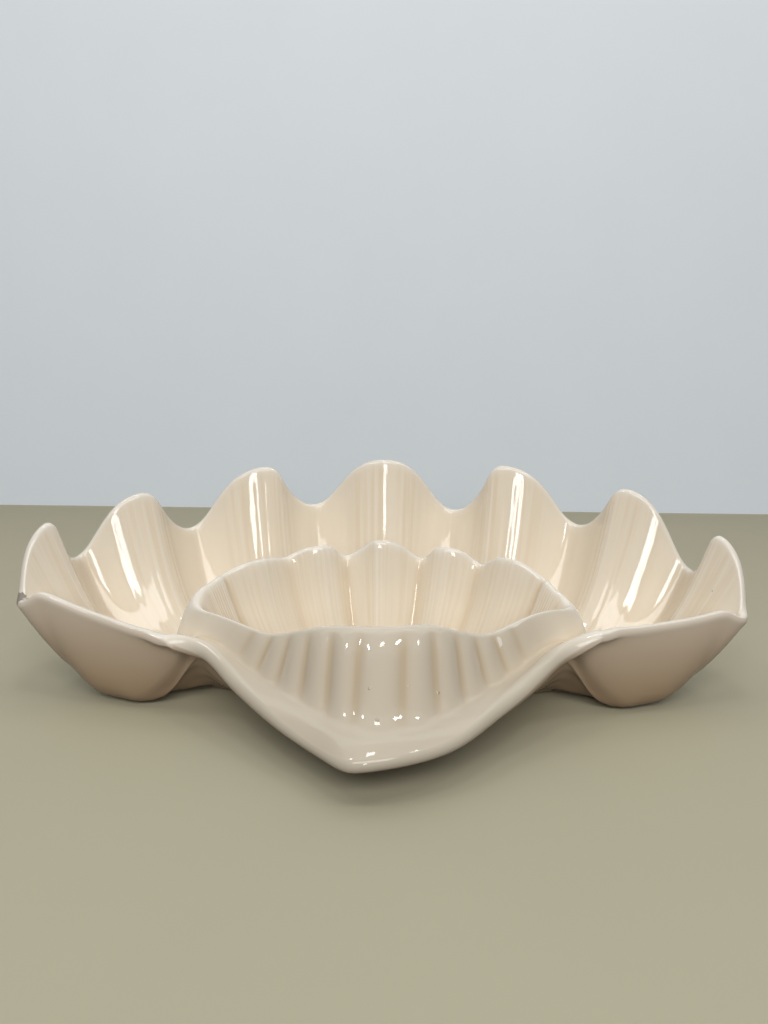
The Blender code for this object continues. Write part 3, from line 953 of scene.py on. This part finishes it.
def plain_material(name, seen, lighting, roughness, glow=(0, 0, 0, 1)):
    """Matt, faintly mottled colour with a glow that only the camera sees.

    Light that has bounced sees `lighting` instead."""
    material = bpy.data.materials.new(name)
    material.use_nodes = True
    tree = material.node_tree
    shader = tree.nodes["Principled BSDF"]
    place = add(tree, "TexCoord").outputs["Object"]
    mottle = add(tree, "TexNoise", values={"Scale": 9.0, "Detail": 4.0}, links={"Vector": place})
    darker = tuple(MOTTLE * c for c in seen[:3]) + (1,)
    shade = mixed(tree, mottle.outputs["Fac"], darker, seen)
    path = add(tree, "LightPath")
    direct = math_node(tree, "MAXIMUM", path.outputs["Is Camera Ray"],
                       path.outputs["Is Glossy Ray"])
    shade = mixed(tree, direct, lighting, shade)
    tree.links.new(shade, shader.inputs["Base Color"])
    shader.inputs["Roughness"].default_value = roughness
    shader.inputs["Emission Color"].default_value = glow
    tree.links.new(path.outputs["Is Camera Ray"], shader.inputs["Emission Strength"])
    return material


def plane_mesh(name, corners):
    """One rectangle from its four corners."""
    mesh = bpy.data.meshes.new(name)
    mesh.from_pydata(corners, [], [(0, 1, 2, 3)])
    return mesh


FLOOR_HALF = 2.5
WALL_Y, WALL_HEIGHT = 0.62, 2.2
floor = bpy.data.objects.new("floor", plane_mesh("floor", [
    (-FLOOR_HALF, -FLOOR_HALF, 0), (FLOOR_HALF, -FLOOR_HALF, 0),
    (FLOOR_HALF, WALL_Y, 0), (-FLOOR_HALF, WALL_Y, 0)]))
backdrop = bpy.data.objects.new("backdrop", plane_mesh("backdrop", [
    (-FLOOR_HALF, WALL_Y, 0), (FLOOR_HALF, WALL_Y, 0),
    (FLOOR_HALF, WALL_Y, WALL_HEIGHT), (-FLOOR_HALF, WALL_Y, WALL_HEIGHT)]))
floor.data.materials.append(
    plain_material("pale_table", (.51, .475, .335, 1), (.12, .08, .04, 1), .6))
backdrop.data.materials.append(
    plain_material("pale_board", (.75, .79, .81, 1), (.60, .62, .65, 1), .8, (.13, .15, .16, 1)))
for item in (floor, backdrop):
    bpy.context.scene.collection.objects.link(item)
print("floor at z = 0, board at y =", WALL_Y)

# %% [markdown]
# ## Light
#
# A broad panel high in front lights the fan and the bowl evenly, and a ceiling and a weak
# light behind it keep the rims pale. Two narrow window panes far in front and three small
# lamps give the glassy glaze its strokes and dashes. The room itself is dim, but the camera
# sees it pale, so it is a quiet background from every side.

# %% Lights
ROOM_COLOUR = (.94, .96, 1.0, 1)
ROOM_LIGHT = 0.05           # how bright the room is for the object
ROOM_SEEN = 0.60            # and how much brighter the camera sees it, as a pale background
LIGHTS = [                  # name, place, what it faces, width and height, power
    ("window pane", (.005, -2.2, .70), (0, 0, .07), (.13, .58), 3.2),
    ("lamp", (-.72, -.2, 1.3), (0, -.05, .05), (.12, .12), 1.0),
    ("window pane", (.155, -2.2, .70), (0, 0, .07), (.13, .58), 3.2),
    ("lamp", (.72, -.2, 1.3), (0, -.05, .05), (.12, .12), 1.0),
    ("lamp", (.02, -.22, 1.6), (0, -.05, .05), (.26, .14), 1.6),
    ("front wall", (0, -1.75, 1.5), (0, 0, .05), (2.5, .9), 30),
    ("ceiling", (0, .40, 1.9), (0, .2, 0), (3.2, 2.2), 10),
    ("back light", (0, .50, 1.35), (0, .02, .05), (2.4, .5), 2.6),
]


def area_light(name, place, target, size, power):
    """A rectangular panel at `place` that faces `target`."""
    data = bpy.data.lights.new(name, "AREA")
    data.shape = "RECTANGLE"
    data.size, data.size_y = size
    data.energy = power
    light = bpy.data.objects.new(name, data)
    light.location = place
    light.rotation_euler = (Vector(target) - Vector(place)).to_track_quat("-Z", "Y").to_euler()
    bpy.context.scene.collection.objects.link(light)


def soft_room():
    """World of one pale colour, dim for the object and brighter for the camera alone."""
    world = bpy.data.worlds.new("soft_room")
    world.use_nodes = True
    tree = world.node_tree
    background = tree.nodes["Background"]
    background.inputs["Color"].default_value = ROOM_COLOUR
    path = add(tree, "LightPath")
    seen = math_node(tree, "MULTIPLY", path.outputs["Is Camera Ray"], ROOM_SEEN)
    tree.links.new(math_node(tree, "ADD", ROOM_LIGHT, seen), background.inputs["Strength"])
    return world


bpy.context.scene.world = soft_room()
for light in LIGHTS:
    area_light(*light)
bpy.context.scene.view_settings.view_transform = "Standard"
print(len(LIGHTS), "lights in a soft room")
